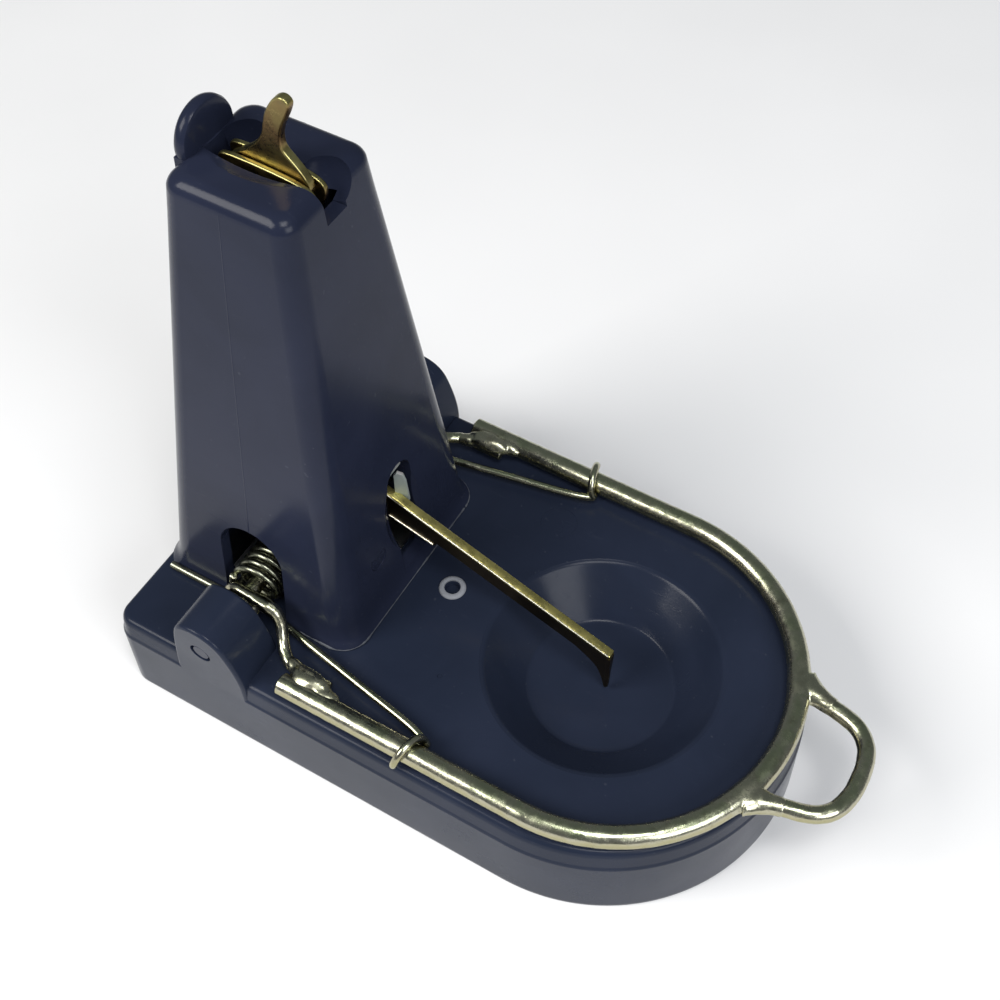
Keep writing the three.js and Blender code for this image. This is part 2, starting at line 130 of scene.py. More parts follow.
# ---------------------------------------------------------------- camera, light, floor
def add_camera():
    """The photograph's view: 29 degrees round from the near side and 54 degrees above the floor."""
    azimuth, elevation, roll = (math.radians(a) for a in CAMERA_ANGLES)
    ahead = Vector((-math.sin(azimuth) * math.cos(elevation),
                    math.cos(azimuth) * math.cos(elevation), -math.sin(elevation)))
    right = Vector((math.cos(azimuth), math.sin(azimuth), 0))
    up = right.cross(ahead)
    right, up = (right * math.cos(roll) + up * math.sin(roll),
                 up * math.cos(roll) - right * math.sin(roll))
    data = bpy.data.cameras.new("camera")
    data.sensor_width = 36.0
    data.lens = 50.4
    data.shift_x = -0.0322
    data.shift_y = -0.0107
    data.clip_start = 0.005
    data.clip_end = 20
    camera = bpy.data.objects.new("camera", data)
    bpy.context.scene.collection.objects.link(camera)
    axes = Matrix((right, up, -ahead)).transposed()
    x, y, z = CAMERA_AT
    spot = Vector(((x + SHIFT) * MM, y * MM, z * MM))
    camera.matrix_world = Matrix.Translation(spot) @ axes.to_4x4()
    bpy.context.scene.camera = camera


def add_light(name, spot, size, power, colour=(1, 1, 1)):
    """A square softbox at spot, aimed at the trap."""
    target = Vector((0, 0, 0.03))
    data = bpy.data.lights.new(name, "AREA")
    data.shape = "RECTANGLE"
    data.size = data.size_y = size
    data.energy = power
    data.color = colour
    light = bpy.data.objects.new(name, data)
    bpy.context.scene.collection.objects.link(light)
    light.location = spot
    light.rotation_euler = (target - Vector(spot)).to_track_quat("-Z", "Y").to_euler()


def add_stage():
    """Soft studio light and a plain pale floor."""
    world = bpy.data.worlds.new("studio")
    bpy.context.scene.world = world
    world.use_nodes = True
    background = world.node_tree.nodes["Background"]
    background.inputs["Color"].default_value = (0.86, 0.92, 1.0, 1)
    background.inputs["Strength"].default_value = 0.18
    add_light("key", (-0.42, -0.50, 0.62), 0.42, 5.6, (1.0, 0.98, 0.95))
    add_light("fill", (0.62, -0.30, 0.50), 0.40, 3.1, (0.95, 0.97, 1.0))
    add_light("overhead", (0.20, -0.22, 0.85), 0.30, 3.1)
    mesh = bpy.data.meshes.new("floor")
    corners = [(x * FLOOR_HALF, y * FLOOR_HALF, 0) for x, y in ((-1, -1), (1, -1), (1, 1), (-1, 1))]
    mesh.from_pydata(corners, [], [(0, 1, 2, 3)])
    floor = bpy.data.objects.new("floor", mesh)
    floor.location.z = -0.0001
    bpy.context.scene.collection.objects.link(floor)
    mat, nodes, links, shader = new_material("floor_paper")
    tone = colour_ramp(nodes, links, noise_node(nodes, links, 12, 3),
                       [(0.3, (0.86, 0.86, 0.86)), (0.7, (0.90, 0.90, 0.90))])
    links.new(tone, shader.inputs["Base Color"])
    shader.inputs["Roughness"].default_value = 0.75
    shader.inputs["Specular IOR Level"].default_value = 0.2
    mesh.materials.append(mat)


# ---------------------------------------------------------------- materials
def new_material(name):
    mat = bpy.data.materials.new(name)
    mat.use_nodes = True
    nodes = mat.node_tree.nodes
    return mat, nodes, mat.node_tree.links, nodes["Principled BSDF"]


def coords(nodes, links, stretch=(1, 1, 1)):
    """Coordinates fixed to the object, in metres."""
    where = nodes.new("ShaderNodeTexCoord")
    mapping = nodes.new("ShaderNodeMapping")
    mapping.inputs["Scale"].default_value = stretch
    links.new(where.outputs["Object"], mapping.inputs["Vector"])
    return mapping.outputs["Vector"]


def noise_node(nodes, links, scale, detail, stretch=(1, 1, 1), roughness=0.5, distortion=0.0):
    tex = nodes.new("ShaderNodeTexNoise")
    tex.inputs["Scale"].default_value = scale
    tex.inputs["Detail"].default_value = detail
    tex.inputs["Roughness"].default_value = roughness
    tex.inputs["Distortion"].default_value = distortion
    links.new(coords(nodes, links, stretch), tex.inputs["Vector"])
    return tex.outputs["Fac"]


def colour_ramp(nodes, links, factor, stops):
    ramp = nodes.new("ShaderNodeValToRGB")
    elements = ramp.color_ramp.elements
    while len(elements) < len(stops):
        elements.new(0.5)
    for element, (position, colour) in zip(elements, stops):
        element.position = position
        element.color = (*colour, 1)
    links.new(factor, ramp.inputs["Fac"])
    return ramp.outputs["Color"]


def value_ramp(nodes, links, factor, stops):
    return colour_ramp(nodes, links, factor, [(p, (v, v, v)) for p, v in stops])


def mix_colours(nodes, links, factor, first, second):
    mix = nodes.new("ShaderNodeMix")
    mix.data_type = "RGBA"
    links.new(factor, mix.inputs[0])
    for socket, value in ((mix.inputs[6], first), (mix.inputs[7], second)):
        if isinstance(value, tuple):
            socket.default_value = (*value, 1)
        else:
            links.new(value, socket)
    return mix.outputs[2]


def add_bump(nodes, links, height, strength, distance, before=None):
    bump = nodes.new("ShaderNodeBump")
    bump.inputs["Strength"].default_value = strength
    bump.inputs["Distance"].default_value = distance
    links.new(height, bump.inputs["Height"])
    if before is not None:
        links.new(before, bump.inputs["Normal"])
    return bump.outputs["Normal"]


def plastic_material(name, dark, light, rough=(0.16, 0.30)):
    """Glossy moulded polystyrene with flow clouds, handling scuffs and a little dust."""
    mat, nodes, links, shader = new_material(name)
    cloud = value_ramp(nodes, links, noise_node(nodes, links, 55, 4, distortion=0.6),
                       [(0.32, 0.0), (0.70, 1.0)])
    body = mix_colours(nodes, links, cloud, dark, light)
    scuff = value_ramp(nodes, links, noise_node(nodes, links, 140, 5, (1, 4.5, 4.5), 0.72),
                       [(0.62, 0.0), (0.76, 0.22)])
    worn = mix_colours(nodes, links, scuff, body, SCUFF)
    specks = value_ramp(nodes, links, noise_node(nodes, links, 1100, 1.5), [(0.735, 0.0), (0.79, 0.10)])
    links.new(mix_colours(nodes, links, specks, worn, DUST), shader.inputs["Base Color"])
    gloss = value_ramp(nodes, links, noise_node(nodes, links, 85, 5, roughness=0.65),
                       [(0.30, rough[0]), (0.72, rough[1])])
    links.new(gloss, shader.inputs["Roughness"])
    ripple = add_bump(nodes, links, noise_node(nodes, links, 60, 1.0), 0.25, 0.0004)
    grain = add_bump(nodes, links, noise_node(nodes, links, 2600, 2.0), 0.10, 0.00005, ripple)
    hair = value_ramp(nodes, links, noise_node(nodes, links, 260, 2.0, (0.35, 5.0, 3.0), 0.6),
                      [(0.655, 0.0), (0.67, 1.0), (0.685, 0.0)])
    links.new(add_bump(nodes, links, hair, 0.14, 0.00004, grain), shader.inputs["Normal"])
    shader.inputs["IOR"].default_value = 1.5
    shader.inputs["Specular IOR Level"].default_value = 0.13
    return mat


def plated_material(name, stops, rough, pit, pit_scale, tint=0.35):
    """Plated steel with pits. Its colour, from stops, drifts at random and is painted with light and shade:
    faces that look up take paler stops as a painted highlight, and faces that look down take darker ones as
    painted shade.
    """
    mat, nodes, links, shader = new_material(name)
    where = nodes.new("ShaderNodeTexCoord")
    split = nodes.new("ShaderNodeSeparateXYZ")
    links.new(where.outputs["Normal"], split.inputs["Vector"])
    # Painted highlight and shade: the normal's height moves up-facing skin towards the pale stops and
    # down-facing skin towards the dark ones.
    painted_top_light = nodes.new("ShaderNodeMath")
    painted_top_light.operation = "MULTIPLY_ADD"
    painted_top_light.inputs[1].default_value = 0.42
    painted_top_light.inputs[2].default_value = 0.5 - tint / 2
    links.new(split.outputs["Z"], painted_top_light.inputs[0])
    wander = nodes.new("ShaderNodeMath")
    wander.operation = "MULTIPLY_ADD"
    wander.inputs[1].default_value = tint
    links.new(noise_node(nodes, links, 260, 4, distortion=0.8), wander.inputs[0])
    links.new(painted_top_light.outputs[0], wander.inputs[2])
    tone = colour_ramp(nodes, links, wander.outputs[0], stops)
    grime = value_ramp(nodes, links, noise_node(nodes, links, 420, 5, roughness=0.7),
                       [(0.56, 0.0), (0.80, 0.60)])
    links.new(mix_colours(nodes, links, grime, tone, GRIME), shader.inputs["Base Color"])
    shader.inputs["Metallic"].default_value = 1.0
    dull = value_ramp(nodes, links, noise_node(nodes, links, 700, 5, roughness=0.7),
                      [(0.30, rough[0]), (0.75, rough[1])])
    links.new(dull, shader.inputs["Roughness"])
    lumps = add_bump(nodes, links, noise_node(nodes, links, 240, 1.5), 0.16, 0.00018)
    pits = add_bump(nodes, links, noise_node(nodes, links, pit_scale, 3.0, roughness=0.6),
                    pit, 0.00007, lumps)
    links.new(pits, shader.inputs["Normal"])
    return mat


# ---------------------------------------------------------------- mesh helpers
def mesh_object(name, verts, faces):
    """A new object with its faces turned outwards."""
    mesh = bpy.data.meshes.new(name)
    mesh.from_pydata([tuple(map(float, v)) for v in verts], [], faces)
    shape = bpy.data.objects.new(name, mesh)
    bpy.context.scene.collection.objects.link(shape)
    bm = bmesh.new()
    bm.from_mesh(mesh)
    bmesh.ops.recalc_face_normals(bm, faces=bm.faces)
    bm.to_mesh(mesh)
    bm.free()
    return shape


def loft(name, loops):
    """A closed skin over equal-length loops, with a flat cap at each end."""
    n = len(loops[0])
    verts = [p for loop in loops for p in loop]
    faces = [list(range(n)), list(range((len(loops) - 1) * n, len(loops) * n))]
    for k in range(len(loops) - 1):
        for i in range(n):
            a, b = k * n + i, k * n + (i + 1) % n
            faces.append((a, b, b + n, a + n))
    return mesh_object(name, verts, faces)


def turned(name, profile, centre=(0, 0), sides=96):
    """A solid of revolution about a vertical axis from (radius, height) pairs that end on it."""
    verts, faces, rings = [], [], []
    for r, z in profile:
        if r < 1e-6:
            rings.append([len(verts)])
            verts.append((centre[0], centre[1], z))
        else:
            rings.append(list(range(len(verts), len(verts) + sides)))
            for i in range(sides):
                a = 2 * math.pi * i / sides
                verts.append((centre[0] + r * math.cos(a), centre[1] + r * math.sin(a), z))
    for low, high in zip(rings, rings[1:]):
        for i in range(sides):
            j = (i + 1) % sides
            if len(low) == 1:
                faces.append((low[0], high[i], high[j]))
            elif len(high) == 1:
                faces.append((low[i], low[j], high[0]))
            else:
                faces.append((low[i], low[j], high[j], high[i]))
    return mesh_object(name, verts, faces)


def turned_along(name, profile, axis, centre, sides):
    """The same about a line along X or Y through centre; heights run along that axis."""
    shape = turned(name, profile, sides=sides)
    angle, about = (90, "Y") if axis == "X" else (-90, "X")
    shape.data.transform(Matrix.Translation(centre) @ Matrix.Rotation(math.radians(angle), 4, about))
    return shape


def drill(name, pin, r, ends, sides=32):
    """A plain cylinder from one y to the other about the line along Y through pin (x, z)."""
    start, stop = ends
    profile = [(0, start), (r, start), (r, stop), (0, stop)]
    return turned_along(name, profile, "Y", (pin[0], 0, pin[1]), sides)


def box_shape(name, low, high):
    """A box between two opposite corners."""
    xs, ys, zs = zip(low, high)
    loops = [[(xs[0], ys[0], z), (xs[1], ys[0], z), (xs[1], ys[1], z), (xs[0], ys[1], z)] for z in zs]
    return loft(name, loops)


def ellipsoid(name, centre, radii, turn=0.0, rough=0.0, seed=0.0, detail=4):
    """A rounded blob; rough is how far its skin wanders, as a share of its radii."""
    bm = bmesh.new()
    bmesh.ops.create_icosphere(bm, subdivisions=detail, radius=1.0)
    spin = Matrix.Rotation(turn, 3, "Z")
    for v in bm.verts:
        swell = 1 + rough * noise.noise(v.co * 1.6 + Vector((seed, 0, 0)))
        swell += 0.45 * rough * noise.noise(v.co * 4.2 + Vector((0, seed, 0)))
        local = Vector((v.co.x * radii[0], v.co.y * radii[1], v.co.z * radii[2])) * swell
        v.co = spin @ local + Vector(centre)
    mesh = bpy.data.meshes.new(name)
    bm.to_mesh(mesh)
    bm.free()
    shape = bpy.data.objects.new(name, mesh)
    bpy.context.scene.collection.objects.link(shape)
    return shape


def offset_outline(points, inset):
    """A counter-clockwise outline moved inwards by inset."""
    p = np.asarray(points, float)
    before, after = p - np.roll(p, 1, 0), np.roll(p, -1, 0) - p
    before /= np.linalg.norm(before, axis=1)[:, None]
    after /= np.linalg.norm(after, axis=1)[:, None]
    normal = np.stack([-(before + after)[:, 1], (before + after)[:, 0]], 1)
    normal /= np.linalg.norm(normal, axis=1)[:, None]
    lean = np.clip(np.sum(np.stack([-after[:, 1], after[:, 0]], 1) * normal, axis=1), 0.5, 1)
    return p + normal * (inset / lean)[:, None]


def plate(name, outline, y0, y1, edge=0.15, steps=3):
    """An outline in X and Z given thickness from y0 to y1, with its edges rounded."""
    area = sum(a[0] * b[1] - b[0] * a[1] for a, b in zip(outline, outline[1:] + outline[:1]))
    points = outline if area > 0 else outline[::-1]
    levels = []
    for k in range(steps + 1):
        a = math.pi / 2 * k / steps
        levels.append((edge * (1 - math.sin(a)), y0 + edge * (1 - math.cos(a))))
    levels += [(inset, y0 + y1 - y) for inset, y in reversed(levels)]
    loops = []
    for inset, y in levels:
        loops.append([(x, y, z) for x, z in offset_outline(points, inset)])
    return loft(name, loops)


def cut_corners(points):
    """An open line with its inner corners cut three times over; the ends stay."""
    for _ in range(3):
        cut = [points[0]]
        for a, b in zip(points, points[1:]):
            cut.append(tuple(0.75 * u + 0.25 * v for u, v in zip(a, b)))
            cut.append(tuple(0.25 * u + 0.75 * v for u, v in zip(a, b)))
        points = cut + [points[-1]]
    return points


def curve_through(points, per):
    """A Catmull-Rom curve through the points, with per steps between two of them."""
    p = np.asarray(points, float)
    p = np.vstack([2 * p[0] - p[1], p, 2 * p[-1] - p[-2]])
    out = []
    for i in range(1, len(p) - 2):
        t = np.linspace(0, 1, per, endpoint=False)[:, None]
        out.append(0.5 * (2 * p[i] + (p[i + 1] - p[i - 1]) * t
                          + (2 * p[i - 1] - 5 * p[i] + 4 * p[i + 1] - p[i + 2]) * t ** 2
                          + (3 * p[i] - p[i - 1] - 3 * p[i + 1] + p[i + 2]) * t ** 3))
    return np.vstack(out + [p[-2][None]])


def open_curve(points, per):
    """The same for an open line in X and Z."""
    line = curve_through([(x, 0.0, z) for x, z in points], per)
    return [(float(x), float(z)) for x, _, z in line]


def closed_curve(points, per):
    """The same for a closed outline in X and Z."""
    line = open_curve(points[-2:] + points + points[:2], per)
    return line[2 * per:(len(points) + 2) * per]


def arc(centre, r, step):
    """Points every step degrees over the upper half of a circle."""
    turns = [math.radians(a) for a in range(0, 181, step)]
    return [(centre[0] + r * math.cos(a), centre[1] + r * math.sin(a)) for a in turns]


def even_steps(points, step):
    """The same line with points about step apart."""
    p = np.asarray(points, float)
    run = np.concatenate([[0], np.cumsum(np.linalg.norm(np.diff(p, axis=0), axis=1))])
    s = np.linspace(0, run[-1], max(2, int(round(run[-1] / step)) + 1))
    return np.stack([np.interp(s, run, p[:, k]) for k in range(3)], 1)


def tube(name, path, radius, sides, flat=None, lump=0.0, lump_scale=1.0, seed=0.0):
    """Wire along a path. radius and flat (width and height shares) may change along it.

    lump is how far noise moves its skin, and lump_scale how fine that noise is. Its ends are rounded.
    """
    end = 0.2
    p = np.asarray(path, float)
    n = len(p)
    r = np.full(n, radius, float) if np.isscalar(radius) else np.asarray(radius, float)
    shares = np.ones((n, 2)) if flat is None else np.asarray(flat, float)
    ahead = np.gradient(p, axis=0)
    ahead /= np.linalg.norm(ahead, axis=1)[:, None]
    side = np.cross(ahead[0], (0, 0, 1.0))
    if np.linalg.norm(side) < 1e-3:
        side = np.cross(ahead[0], (0, 1.0, 0))
    frames = []
    for t in ahead:
        side = side - t * np.dot(side, t)
        side /= np.linalg.norm(side)
        frames.append((side.copy(), np.cross(t, side)))
    rings = [(p[0] - ahead[0] * end * r[0], 0.62, 0), (p[0] - ahead[0] * end * 0.6 * r[0], 0.88, 0)]
    rings += [(p[i], 1.0, i) for i in range(n)]
    rings += [(p[-1] + ahead[-1] * end * 0.6 * r[-1], 0.88, n - 1),
              (p[-1] + ahead[-1] * end * r[-1], 0.62, n - 1)]
    loops = []
    for centre, share, i in rings:
        loop = []
        for k in range(sides):
            a = 2 * math.pi * k / sides
            out = frames[i][0] * math.cos(a) * shares[i][0] + frames[i][1] * math.sin(a) * shares[i][1]
            reach = r[i] * share
            if lump:
                spot = Vector(centre + out * r[i]) * lump_scale + Vector((seed, seed, 0))
                reach += lump * noise.noise(spot)
            loop.append(centre + out * reach)
        loops.append(loop)
    return loft(name, loops)


def apply_modifiers(shape):
    """Makes what the shape's modifiers show its own mesh."""
    evaluated = shape.evaluated_get(bpy.context.evaluated_depsgraph_get())
    result = bpy.data.meshes.new_from_object(evaluated)
    shape.modifiers.clear()
    shape.data = result


def combine(target, tools, operation):
    """Applies each tool in turn and removes it."""
    for tool in tools:
        modifier = target.modifiers.new("combine", "BOOLEAN")
        modifier.operation = operation
        modifier.solver = "EXACT"
        modifier.object = tool
        apply_modifiers(target)
        bpy.data.objects.remove(tool)
    return target


def cut(target, *tools):
    return combine(target, tools, "DIFFERENCE")


def join(target, *others):
    return combine(target, others, "UNION")


def melt(shape, smooth_rounds):
    """Remeshes joined shapes into one skin with soft valleys, as weld metal has."""
    remesh = shape.modifiers.new("melt", "REMESH")
    remesh.mode = "VOXEL"
    remesh.voxel_size = 0.15
    relax = shape.modifiers.new("relax", "SMOOTH")
    relax.factor = 0.5
    relax.iterations = smooth_rounds
    apply_modifiers(shape)
    return shape


def place(shape, body, material, replaces=(), sharp=34, weighted=True):
    """Moves a finished shape into the frame, shades it and hangs it on its body.

    Edges that turn by more than sharp degrees stay sharp.
    """
    shape.data.transform(Matrix.Scale(MM, 4) @ Matrix.Translation((SHIFT, 0, 0)))
    bm = bmesh.new()
    bm.from_mesh(shape.data)
    bmesh.ops.remove_doubles(bm, verts=bm.verts, dist=2e-6)
    bmesh.ops.dissolve_degenerate(bm, edges=bm.edges, dist=1e-6)
    bmesh.ops.recalc_face_normals(bm, faces=bm.faces)
    for edge in bm.edges:
        edge.smooth = len(edge.link_faces) != 2 or edge.calc_face_angle(0) < math.radians(sharp)
    for face in bm.faces:
        face.smooth = True
        face.material_index = 0
    bm.to_mesh(shape.data)
    bm.free()
    shape.data.materials.clear()
    shape.data.materials.append(material)
    if weighted:
        modifier = shape.modifiers.new("weighted", "WEIGHTED_NORMAL")
        modifier.keep_sharp = True
    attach(shape, body)
    if replaces:
        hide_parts(*replaces)
    return shape


# ---------------------------------------------------------------- base moulding
def base_outline(d, z):
    """The footprint moved outwards by d, at height z."""
    front_steps, corner_steps = 128, 10
    half, rear, r = BASE_HALF + d, BASE_REAR_X - d, max(BASE_CORNER_R + d, 0.6)
    loop = []
    for i in range(front_steps + 1):
        a = -math.pi / 2 + math.pi * i / front_steps
        loop.append((BASE_ARC_X + half * math.cos(a), half * math.sin(a), z))
    for cx, cy, quarter in ((rear + r, half - r, 1), (rear + r, r - half, 2)):
        for i in range(corner_steps + 1):
            a = (quarter + i / corner_steps) * math.pi / 2
            loop.append((cx + r * math.cos(a), cy + r * math.sin(a), z))
    return loop


def boss(side):
    """The lug that holds one end of the axle."""
    crown = cut_corners([(-43.4, 14.0), (-43.4, 18.2), (-44.5, 22.6), (-46.3, 26.6), (-50.3, 28.0),
                         (-54.2, 26.6), (-55.4, 21.0), (-56.3, 14.0)])
    outline = [(-56.3, 10.0), (-43.4, 10.0)] + crown
    return plate("boss", outline, *sorted((side * BOSS_IN, side * BOSS_OUT)), edge=0.6, steps=4)


def cup_outside():
    return turned("cup_outside", [(0, 7.9), (12.2, 7.9), (13.0, 8.2), (19.8, 15.2), (19.8, 16.0), (0, 16.0)])


def cup_inside():
    """The bait cup's hollow: flat floor, sloping wall and a rounded lip."""
    floor = [(0, 9.9), (10.5, 9.9), (11.1, 9.98), (11.55, 10.25)]
    lip = [(17.42, 16.12), (17.62, 16.34), (17.86, 16.52), (18.14, 16.64), (18.44, 16.695), (18.6, 16.8)]
    return turned("cup_inside", floor + lip + [(18.6, 18.0), (0, 18.0)], sides=144)


def deck_marks():
    """Tools that leave the nail dimple, an ejector pin's disc and the gate's scar."""
    above = DECK_Z + 0.3
    nail = [(0, 16.0), (0.95, 16.0), (1.05, 16.5), (1.1, 16.9), (1.3, 17.2), (0, 17.2)]
    ejector = [(0, DECK_Z - 0.06), (2.9, DECK_Z - 0.06), (3.0, above), (0, above)]
    gate = [(0, DECK_Z - 0.12), (0.35, DECK_Z - 0.12), (0.5, above), (0, above)]
    return (turned("nail_mark", nail, (NAIL_X, 0), 48), turned("ejector", ejector, (-17.9, 18.8), 64),
            turned("gate", gate, (-19.8, -14.0), 24))


def base_shell():
    # How far the footprint stands out at each height: a foot lip, the skirt, a step and the deck's edge.
    skirt = [(0.30, 0.0), (0.60, 0.10), (0.73, 0.35), (0.74, 0.9), (0.40, 12.6), (0.36, 13.0),
             (0.22, 13.2), (0.14, 13.45), (-0.16, 15.5), (-0.26, 15.95), (-0.46, 16.33),
             (-0.74, 16.58), (-1.05, 16.69), (-1.35, DECK_Z)]
    shell = loft("base", [base_outline(d, z) for d, z in skirt])
    cut(shell, loft("hollow", [base_outline(-1.25, -1.0), base_outline(-WALL, DECK_Z - WALL)]))
    join(shell, cup_outside())
    cut(shell, cup_inside())
    for side in TAGS:
        join(shell, boss(side))
        cut(shell, drill("bore", AXLE, BORE_R, sorted((side * (BOSS_IN - 1), side * (BOSS_OUT - 1.6)))),
            drill("plug_seat", AXLE, 1.75, sorted((side * (BOSS_OUT - 1.1), side * (BOSS_OUT + 1))), 40))
    nail_mark, ejector, gate = deck_marks()
    under_tower = box_shape("under_tower", (-62.8, -13.5, 11), (-37.0, 13.5, 21))
    return cut(shell, nail_mark, under_tower, ejector, gate)


def nail_ring():
    """The small raised ring in front of the tower, pale: partly whitened plastic, partly a painted highlight.
    """
    profile = [(0, 16.5), (2.12, 16.5), (2.12, 16.74), (2.02, 16.92), (1.86, 17.02), (1.64, 17.05),
               (1.40, 17.04), (1.22, 16.98), (0, 16.98)]
    ring = turned("nail_ring", profile, (NAIL_X, 0), 72)
    for v in ring.data.vertices:
        if v.co.z > 16.8:
            v.co.z += 0.05 * noise.noise(v.co * 1.1)
    return cut(ring, turned("eye", [(0, 16.0), (1.28, 16.0), (1.28, 18.0), (0, 18.0)], (NAIL_X, 0), 48))


# ---------------------------------------------------------------- tower moulding
def tower_outline(z, inset, r, seam=0.06):
    """The tower's section at height z, drawn in by inset; seam is how far its parting line stands out."""
    steps = 10
    t = (z - DECK_Z) / (TOWER_TOP - DECK_Z)
    rear = TOWER_REAR + TOWER_REAR_DRAW * t + inset
    front = TOWER_FRONT - TOWER_FRONT_DRAW * t - inset
    half = TOWER_HALF - TOWER_HALF_DRAW * t - inset
    seam_x = (rear + front) / 2 - 0.4
    corners = ((front - r, half - r, 0), (rear + r, half - r, 1),
               (rear + r, r - half, 2), (front - r, r - half, 3))
    loop = []
    for cx, cy, quarter in corners:
        for i in range(steps + 1):
            a = (quarter + i / steps) * math.pi / 2
            loop.append((cx + r * math.cos(a), cy + r * math.sin(a), z))
        if quarter in (0, 2):
            way, wall = (-1, half) if quarter == 0 else (1, -half)
            for dx, out in ((-0.16, 0), (0, seam), (0.16, 0)):
                loop.append((seam_x + way * dx, wall + math.copysign(out, wall), z))
    return loop


def tower_walls():
    """The tapered shell: a flared foot, straight walls, a rounded crown and the hollow."""
    foot = [(17.0, -0.66), (17.3, -0.60), (17.8, -0.34), (18.6, -0.12), (19.8, -0.02), (21.0, 0.0)]
    loops = [tower_outline(z, inset, TOWER_CORNER_R) for z, inset in foot]
    loops += [tower_outline(z, 0.0, TOWER_CORNER_R - 1.3 * (z - 21) / 68) for z in (35, 50, 65, 78, 86)]
    steps = 8
    for k in range(steps + 1):
        a = math.pi / 2 * k / steps
        z = TOWER_TOP - CROWN_R + CROWN_R * math.sin(a)
        corner_r, seam = 2.8 - 1.2 * k / steps, 0.06 * (1 - k / steps)
        loops.append(tower_outline(z, CROWN_R * (1 - math.cos(a)), corner_r, seam))
    body = loft("tower_body", loops)
    return cut(body, loft("hollow", [tower_outline(16.0, 1.9, 2.2, 0.0), tower_outline(88.2, 2.0, 1.2, 0.0)]))


def ear():
    """The round ear on the rear edge, turned about X, and the neck that carries it."""
    profile = [(0, -57.9), (3.1, -57.9), (4.0, -57.7), (4.5, -57.3), (4.7, -56.8), (4.7, -56.2),
               (4.5, -55.8), (4.1, -55.6), (2.8, -55.5), (0, -55.5)]
    disc = turned_along("ear", profile, "X", (0, 0, EAR_Z), 72)
    loops = []
    for z, w, lean in ((82, 6.6, 0.0), (85, 5.7, 0.5), (87.5, 5.1, 0.9), (91.6, 4.7, 1.0)):
        rear, front = -56.9 - 0.6 * lean, -55.1
        loops.append([(rear, -w, z), (front, -w, z), (front, w, z), (rear, w, z)])
    return loft("neck", loops), disc


def roof_notch():
    """A round notch through the crown's front edge, about the line along X at height 91.6."""
    z, r = 91.6, 3.4
    turns = [math.radians(a) for a in range(0, 181, 12)]
    outline = [(z - r * math.sin(a), -r * math.cos(a)) for a in turns] + [(97.0, 3.9), (97.0, -3.9)]
    notch = plate("notch", outline, 30.0, 43.2, edge=0.3)
    notch.data.transform(FACE_FRONT_TIPPED)
    return notch


def front_slot():
    """The arched slot that the trigger comes out of."""
    outline = [(-2.2, 19.3), (3.6, 19.3)] + arc(ARCH, ARCH_R, 9)
    slot = plate("front_slot", outline, 28.0, 41.0, edge=0.05, steps=1)
    slot.data.transform(FACE_FRONT)
    return slot


def side_windows():
    """The arched windows beside the coils, as one tool right through the tower."""
    outline = [(AXLE_X - 5.6, 15.0), (AXLE_X + 5.4, 15.0)] + arc((AXLE_X - 0.1, 28.5), WINDOW_R, 9)
    return plate("window", outline, -25, 25, edge=0.05, steps=1)


def tower():
    body = tower_walls()
    cut(body, ellipsoid("scoop", (-48.6, 0, 98.8), (15.0, 8.2, 7.9), detail=5))
    join(body, *ear())
    cut(body, box_shape("slot", (-55.3, -SLOT_HALF, 87.5), (-30, SLOT_HALF, 97)),
        ellipsoid("rear_pocket", (-52.5, 1.7, 91.6), (2.8, 3.4, 4.2), detail=5),
        ellipsoid("front_pocket", (-40.4, 1.2, 91.4), (3.4, 3.2, 3.9), detail=5),
        roof_notch(), ellipsoid("dish", (-33.1, 0.2, 33.0), (2.5, 4.7, 9.4), detail=5), front_slot(),
        side_windows(),
        turned_along("mark", [(0, -33.98), (1.9, -33.98), (2.0, -30), (0, -30)], "X", (0, -7.2, 28.4), 40))
    for side in TAGS:
        inner, outer = sorted((side * 3.5, side * 5.2))
        join(body, box_shape("catch_cheek", (-51.5, inner, 82.4), (-42.5, outer, 88.8)),
             box_shape("trigger_cheek", (-43.0, inner, 28.3), (-35.6, outer, 37.3)))
    bore = (-PIN_HALF - 0.3, PIN_HALF + 0.3)
    return cut(body, *(drill("pin_bore", pin, PIN_HOLE_R, bore) for pin in (CATCH_PIN, TRIGGER_PIN)))


def tower_flash():
    """The thin ragged line of moulding flash along the tower's foot, coloured pale as a painted highlight
    along the joint.
    """
    loop = [(x, y, 16.95) for x, y, _ in tower_outline(17.0, -0.60, TOWER_CORNER_R, 0.0)]
    path = even_steps(loop + loop[:1], 0.35)[:-1]
    wobble = [noise.noise(Vector(p) * 0.55) + 0.6 * noise.noise(Vector(p) * 1.9) for p in path]
    radius = [0.13 + 0.16 * max(0.0, w) for w in wobble]
    return tube("tower_flash", path, radius, 8, lump=0.05, lump_scale=2.2)


# ---------------------------------------------------------------- wires
def axle_arc(radius, start, stop, y0, y1, count):
    """A helix about the axle from one angle in degrees to another, as y goes from y0 to y1."""
    line = []
    for i in range(count + 1):
        t = i / count
        a = math.radians(start + (stop - start) * t)
        line.append((AXLE_X + radius * math.cos(a), y0 + (y1 - y0) * t, AXLE_Z + radius * math.sin(a)))
    return line


def on_side(points, side):
    """Points drawn on the near side, as they are or mirrored to the far side."""
    return [(x, -side * y, z) for x, y, z in points]


def rod_path():
    leg_points, bend_steps = 80, 140
    run = np.linspace(ROD_REAR_X, ROD_ARC_X, leg_points)
    line = [(x, -ROD_HALF, ROD_Z) for x in run]
    for i in range(1, bend_steps):
        a = -math.pi / 2 + math.pi * i / bend_steps
        line.append((ROD_ARC_X + ROD_HALF * math.cos(a), ROD_HALF * math.sin(a), ROD_Z))
    return line + [(x, ROD_HALF, ROD_Z) for x in run[::-1]]


